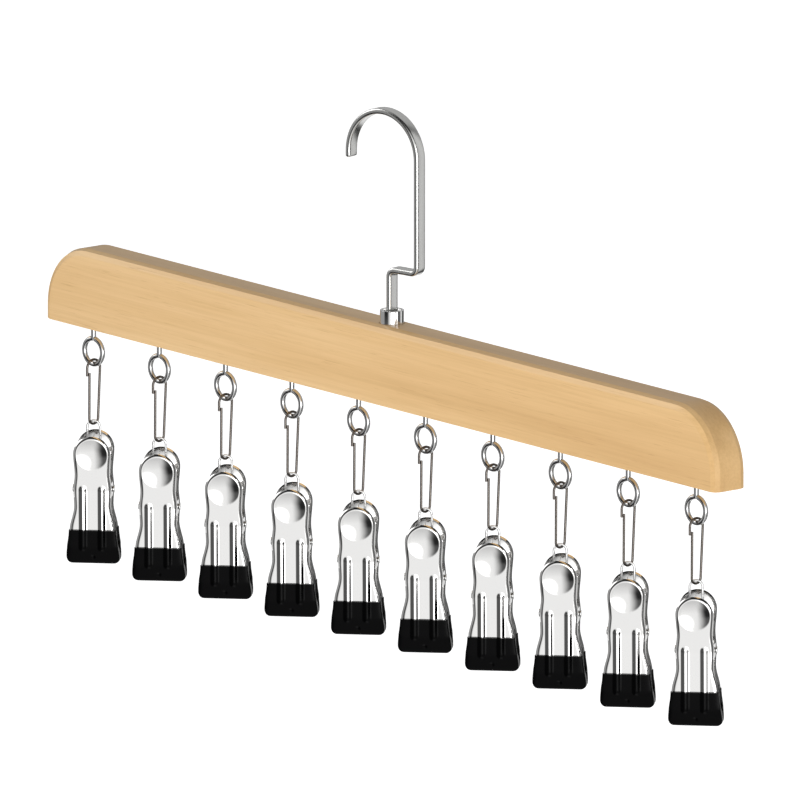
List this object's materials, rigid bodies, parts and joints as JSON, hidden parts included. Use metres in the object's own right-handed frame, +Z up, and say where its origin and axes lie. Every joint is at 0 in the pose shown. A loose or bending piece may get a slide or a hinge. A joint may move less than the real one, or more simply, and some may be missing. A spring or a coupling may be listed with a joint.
{
  "type": "clip hanger",
  "caption": "Wooden bar hanger on a swivelling flat steel hook, with sprung chrome clips, dipped in black vinyl at the jaws, hung below the bar on wire links.",
  "frame": {"origin": "top of the inside of the hook's arch, where a rail carries the hanger", "axes": "+X along the bar towards the side that the hook's upper shank is on, +Y from front to back, +Z up"},
  "size_m": [0.45, 0.0234, 0.2283],
  "materials": {
    "wood": "clear lacquer",
    "satin_steel": "satin",
    "chrome": "polished",
    "wire_steel": "bright drawn",
    "black_vinyl": "glossy dip"
  },
  "bodies": {
    "hook": {"hook": "satin_steel", "swivel_collar": "wire_steel"},
    "bar": {"bar": "wood", "ferrule": "chrome", "screw_eye_01": "wire_steel", "screw_eye_02": "wire_steel", "screw_eye_03": "wire_steel", "screw_eye_04": "wire_steel", "screw_eye_05": "wire_steel", "screw_eye_06": "wire_steel", "screw_eye_07": "wire_steel", "screw_eye_08": "wire_steel", "screw_eye_09": "wire_steel", "screw_eye_10": "wire_steel"},
    "link_01": {"link_01": "wire_steel"},
    "hanger_loop_01": {"clip_spring_01": "wire_steel"},
    "front_half_01": {"clip_front_01": "chrome"},
    "rear_half_01": {"clip_rear_01": "chrome"},
    "link_02": {"link_02": "wire_steel"},
    "hanger_loop_02": {"clip_spring_02": "wire_steel"},
    "front_half_02": {"clip_front_02": "chrome"},
    "rear_half_02": {"clip_rear_02": "chrome"},
    "link_03": {"link_03": "wire_steel"},
    "hanger_loop_03": {"clip_spring_03": "wire_steel"},
    "front_half_03": {"clip_front_03": "chrome"},
    "rear_half_03": {"clip_rear_03": "chrome"},
    "link_04": {"link_04": "wire_steel"},
    "hanger_loop_04": {"clip_spring_04": "wire_steel"},
    "front_half_04": {"clip_front_04": "chrome"},
    "rear_half_04": {"clip_rear_04": "chrome"},
    "link_05": {"link_05": "wire_steel"},
    "hanger_loop_05": {"clip_spring_05": "wire_steel"},
    "front_half_05": {"clip_front_05": "chrome"},
    "rear_half_05": {"clip_rear_05": "chrome"},
    "link_06": {"link_06": "wire_steel"},
    "hanger_loop_06": {"clip_spring_06": "wire_steel"},
    "front_half_06": {"clip_front_06": "chrome"},
    "rear_half_06": {"clip_rear_06": "chrome"},
    "link_07": {"link_07": "wire_steel"},
    "hanger_loop_07": {"clip_spring_07": "wire_steel"},
    "front_half_07": {"clip_front_07": "chrome"},
    "rear_half_07": {"clip_rear_07": "chrome"},
    "link_08": {"link_08": "wire_steel"},
    "hanger_loop_08": {"clip_spring_08": "wire_steel"},
    "front_half_08": {"clip_front_08": "chrome"},
    "rear_half_08": {"clip_rear_08": "chrome"},
    "link_09": {"link_09": "wire_steel"},
    "hanger_loop_09": {"clip_spring_09": "wire_steel"},
    "front_half_09": {"clip_front_09": "chrome"},
    "rear_half_09": {"clip_rear_09": "chrome"},
    "link_10": {"link_10": "wire_steel"},
    "hanger_loop_10": {"clip_spring_10": "wire_steel"},
    "front_half_10": {"clip_front_10": "chrome"},
    "rear_half_10": {"clip_rear_10": "chrome"}
  },
  "joints": [
    {"name": "bar_swivel", "type": "hinge", "parent": "hook", "child": "bar", "pos_m": [0.00364, 0.00064, -0.08875], "axis": [0, 0, 1], "continuous": true},
    {"name": "link_swing_01", "type": "hinge", "parent": "bar", "child": "link_01", "pos_m": [-0.19886, 0.00064, -0.14005], "axis": [1, 0, 0], "range_deg": [-60, 60]},
    {"name": "clip_sway_01", "type": "hinge", "parent": "link_01", "child": "hanger_loop_01", "pos_m": [-0.19886, 0.00064, -0.1658], "axis": [0, 1, 0], "range_deg": [-12, 12]},
    {"name": "clip_open_01", "type": "hinge", "parent": "hanger_loop_01", "child": "front_half_01", "pos_m": [-0.19886, 0.00064, -0.19385], "axis": [-0.7071, -0.7071, 0], "range_deg": [0, 14], "stiffness_Nm_per_rad": 0.15, "springref_deg": -34.38, "deforming": ["clip_spring_01"]},
    {"name": "rear_open_01", "type": "hinge", "parent": "hanger_loop_01", "child": "rear_half_01", "pos_m": [-0.19886, 0.00064, -0.19385], "axis": [0.7071, 0.7071, 0], "range_deg": [0, 14], "stiffness_Nm_per_rad": 0.15, "springref_deg": -34.38, "deforming": ["clip_spring_01"]},
    {"name": "link_swing_02", "type": "hinge", "parent": "bar", "child": "link_02", "pos_m": [-0.15386, 0.00064, -0.14005], "axis": [1, 0, 0], "range_deg": [-60, 60]},
    {"name": "clip_sway_02", "type": "hinge", "parent": "link_02", "child": "hanger_loop_02", "pos_m": [-0.15386, 0.00064, -0.1658], "axis": [0, 1, 0], "range_deg": [-12, 12]},
    {"name": "clip_open_02", "type": "hinge", "parent": "hanger_loop_02", "child": "front_half_02", "pos_m": [-0.15386, 0.00064, -0.19385], "axis": [-0.7071, -0.7071, 0], "range_deg": [0, 14], "stiffness_Nm_per_rad": 0.15, "springref_deg": -34.38, "deforming": ["clip_spring_02"]},
    {"name": "rear_open_02", "type": "hinge", "parent": "hanger_loop_02", "child": "rear_half_02", "pos_m": [-0.15386, 0.00064, -0.19385], "axis": [0.7071, 0.7071, 0], "range_deg": [0, 14], "stiffness_Nm_per_rad": 0.15, "springref_deg": -34.38, "deforming": ["clip_spring_02"]},
    {"name": "link_swing_03", "type": "hinge", "parent": "bar", "child": "link_03", "pos_m": [-0.10886, 0.00064, -0.14005], "axis": [1, 0, 0], "range_deg": [-60, 60]},
    {"name": "clip_sway_03", "type": "hinge", "parent": "link_03", "child": "hanger_loop_03", "pos_m": [-0.10886, 0.00064, -0.1658], "axis": [0, 1, 0], "range_deg": [-12, 12]},
    {"name": "clip_open_03", "type": "hinge", "parent": "hanger_loop_03", "child": "front_half_03", "pos_m": [-0.10886, 0.00064, -0.19385], "axis": [-0.7071, -0.7071, 0], "range_deg": [0, 14], "stiffness_Nm_per_rad": 0.15, "springref_deg": -34.38, "deforming": ["clip_spring_03"]},
    {"name": "rear_open_03", "type": "hinge", "parent": "hanger_loop_03", "child": "rear_half_03", "pos_m": [-0.10886, 0.00064, -0.19385], "axis": [0.7071, 0.7071, 0], "range_deg": [0, 14], "stiffness_Nm_per_rad": 0.15, "springref_deg": -34.38, "deforming": ["clip_spring_03"]},
    {"name": "link_swing_04", "type": "hinge", "parent": "bar", "child": "link_04", "pos_m": [-0.06386, 0.00064, -0.14005], "axis": [1, 0, 0], "range_deg": [-60, 60]},
    {"name": "clip_sway_04", "type": "hinge", "parent": "link_04", "child": "hanger_loop_04", "pos_m": [-0.06386, 0.00064, -0.1658], "axis": [0, 1, 0], "range_deg": [-12, 12]},
    {"name": "clip_open_04", "type": "hinge", "parent": "hanger_loop_04", "child": "front_half_04", "pos_m": [-0.06386, 0.00064, -0.19385], "axis": [-0.7071, -0.7071, 0], "range_deg": [0, 14], "stiffness_Nm_per_rad": 0.15, "springref_deg": -34.38, "deforming": ["clip_spring_04"]},
    {"name": "rear_open_04", "type": "hinge", "parent": "hanger_loop_04", "child": "rear_half_04", "pos_m": [-0.06386, 0.00064, -0.19385], "axis": [0.7071, 0.7071, 0], "range_deg": [0, 14], "stiffness_Nm_per_rad": 0.15, "springref_deg": -34.38, "deforming": ["clip_spring_04"]},
    {"name": "link_swing_05", "type": "hinge", "parent": "bar", "child": "link_05", "pos_m": [-0.01886, 0.00064, -0.14005], "axis": [1, 0, 0], "range_deg": [-60, 60]},
    {"name": "clip_sway_05", "type": "hinge", "parent": "link_05", "child": "hanger_loop_05", "pos_m": [-0.01886, 0.00064, -0.1658], "axis": [0, 1, 0], "range_deg": [-12, 12]},
    {"name": "clip_open_05", "type": "hinge", "parent": "hanger_loop_05", "child": "front_half_05", "pos_m": [-0.01886, 0.00064, -0.19385], "axis": [-0.7071, -0.7071, 0], "range_deg": [0, 14], "stiffness_Nm_per_rad": 0.15, "springref_deg": -34.38, "deforming": ["clip_spring_05"]},
    {"name": "rear_open_05", "type": "hinge", "parent": "hanger_loop_05", "child": "rear_half_05", "pos_m": [-0.01886, 0.00064, -0.19385], "axis": [0.7071, 0.7071, 0], "range_deg": [0, 14], "stiffness_Nm_per_rad": 0.15, "springref_deg": -34.38, "deforming": ["clip_spring_05"]},
    {"name": "link_swing_06", "type": "hinge", "parent": "bar", "child": "link_06", "pos_m": [0.02614, 0.00064, -0.14005], "axis": [1, 0, 0], "range_deg": [-60, 60]},
    {"name": "clip_sway_06", "type": "hinge", "parent": "link_06", "child": "hanger_loop_06", "pos_m": [0.02614, 0.00064, -0.1658], "axis": [0, 1, 0], "range_deg": [-12, 12]},
    {"name": "clip_open_06", "type": "hinge", "parent": "hanger_loop_06", "child": "front_half_06", "pos_m": [0.02614, 0.00064, -0.19385], "axis": [-0.7071, -0.7071, 0], "range_deg": [0, 14], "stiffness_Nm_per_rad": 0.15, "springref_deg": -34.38, "deforming": ["clip_spring_06"]},
    {"name": "rear_open_06", "type": "hinge", "parent": "hanger_loop_06", "child": "rear_half_06", "pos_m": [0.02614, 0.00064, -0.19385], "axis": [0.7071, 0.7071, 0], "range_deg": [0, 14], "stiffness_Nm_per_rad": 0.15, "springref_deg": -34.38, "deforming": ["clip_spring_06"]},
    {"name": "link_swing_07", "type": "hinge", "parent": "bar", "child": "link_07", "pos_m": [0.07114, 0.00064, -0.14005], "axis": [1, 0, 0], "range_deg": [-60, 60]},
    {"name": "clip_sway_07", "type": "hinge", "parent": "link_07", "child": "hanger_loop_07", "pos_m": [0.07114, 0.00064, -0.1658], "axis": [0, 1, 0], "range_deg": [-12, 12]},
    {"name": "clip_open_07", "type": "hinge", "parent": "hanger_loop_07", "child": "front_half_07", "pos_m": [0.07114, 0.00064, -0.19385], "axis": [-0.7071, -0.7071, 0], "range_deg": [0, 14], "stiffness_Nm_per_rad": 0.15, "springref_deg": -34.38, "deforming": ["clip_spring_07"]},
    {"name": "rear_open_07", "type": "hinge", "parent": "hanger_loop_07", "child": "rear_half_07", "pos_m": [0.07114, 0.00064, -0.19385], "axis": [0.7071, 0.7071, 0], "range_deg": [0, 14], "stiffness_Nm_per_rad": 0.15, "springref_deg": -34.38, "deforming": ["clip_spring_07"]},
    {"name": "link_swing_08", "type": "hinge", "parent": "bar", "child": "link_08", "pos_m": [0.11614, 0.00064, -0.14005], "axis": [1, 0, 0], "range_deg": [-60, 60]},
    {"name": "clip_sway_08", "type": "hinge", "parent": "link_08", "child": "hanger_loop_08", "pos_m": [0.11614, 0.00064, -0.1658], "axis": [0, 1, 0], "range_deg": [-12, 12]},
    {"name": "clip_open_08", "type": "hinge", "parent": "hanger_loop_08", "child": "front_half_08", "pos_m": [0.11614, 0.00064, -0.19385], "axis": [-0.7071, -0.7071, 0], "range_deg": [0, 14], "stiffness_Nm_per_rad": 0.15, "springref_deg": -34.38, "deforming": ["clip_spring_08"]},
    {"name": "rear_open_08", "type": "hinge", "parent": "hanger_loop_08", "child": "rear_half_08", "pos_m": [0.11614, 0.00064, -0.19385], "axis": [0.7071, 0.7071, 0], "range_deg": [0, 14], "stiffness_Nm_per_rad": 0.15, "springref_deg": -34.38, "deforming": ["clip_spring_08"]},
    {"name": "link_swing_09", "type": "hinge", "parent": "bar", "child": "link_09", "pos_m": [0.16114, 0.00064, -0.14005], "axis": [1, 0, 0], "range_deg": [-60, 60]},
    {"name": "clip_sway_09", "type": "hinge", "parent": "link_09", "child": "hanger_loop_09", "pos_m": [0.16114, 0.00064, -0.1658], "axis": [0, 1, 0], "range_deg": [-12, 12]},
    {"name": "clip_open_09", "type": "hinge", "parent": "hanger_loop_09", "child": "front_half_09", "pos_m": [0.16114, 0.00064, -0.19385], "axis": [-0.7071, -0.7071, 0], "range_deg": [0, 14], "stiffness_Nm_per_rad": 0.15, "springref_deg": -34.38, "deforming": ["clip_spring_09"]},
    {"name": "rear_open_09", "type": "hinge", "parent": "hanger_loop_09", "child": "rear_half_09", "pos_m": [0.16114, 0.00064, -0.19385], "axis": [0.7071, 0.7071, 0], "range_deg": [0, 14], "stiffness_Nm_per_rad": 0.15, "springref_deg": -34.38, "deforming": ["clip_spring_09"]},
    {"name": "link_swing_10", "type": "hinge", "parent": "bar", "child": "link_10", "pos_m": [0.20614, 0.00064, -0.14005], "axis": [1, 0, 0], "range_deg": [-60, 60]},
    {"name": "clip_sway_10", "type": "hinge", "parent": "link_10", "child": "hanger_loop_10", "pos_m": [0.20614, 0.00064, -0.1658], "axis": [0, 1, 0], "range_deg": [-12, 12]},
    {"name": "clip_open_10", "type": "hinge", "parent": "hanger_loop_10", "child": "front_half_10", "pos_m": [0.20614, 0.00064, -0.19385], "axis": [-0.7071, -0.7071, 0], "range_deg": [0, 14], "stiffness_Nm_per_rad": 0.15, "springref_deg": -34.38, "deforming": ["clip_spring_10"]},
    {"name": "rear_open_10", "type": "hinge", "parent": "hanger_loop_10", "child": "rear_half_10", "pos_m": [0.20614, 0.00064, -0.19385], "axis": [0.7071, 0.7071, 0], "range_deg": [0, 14], "stiffness_Nm_per_rad": 0.15, "springref_deg": -34.38, "deforming": ["clip_spring_10"]}
  ],
  "couplings": [
    {"joint": "rear_open_01", "follows": "clip_open_01", "ratio": 1},
    {"joint": "rear_open_02", "follows": "clip_open_02", "ratio": 1},
    {"joint": "rear_open_03", "follows": "clip_open_03", "ratio": 1},
    {"joint": "rear_open_04", "follows": "clip_open_04", "ratio": 1},
    {"joint": "rear_open_05", "follows": "clip_open_05", "ratio": 1},
    {"joint": "rear_open_06", "follows": "clip_open_06", "ratio": 1},
    {"joint": "rear_open_07", "follows": "clip_open_07", "ratio": 1},
    {"joint": "rear_open_08", "follows": "clip_open_08", "ratio": 1},
    {"joint": "rear_open_09", "follows": "clip_open_09", "ratio": 1},
    {"joint": "rear_open_10", "follows": "clip_open_10", "ratio": 1}
  ]
}
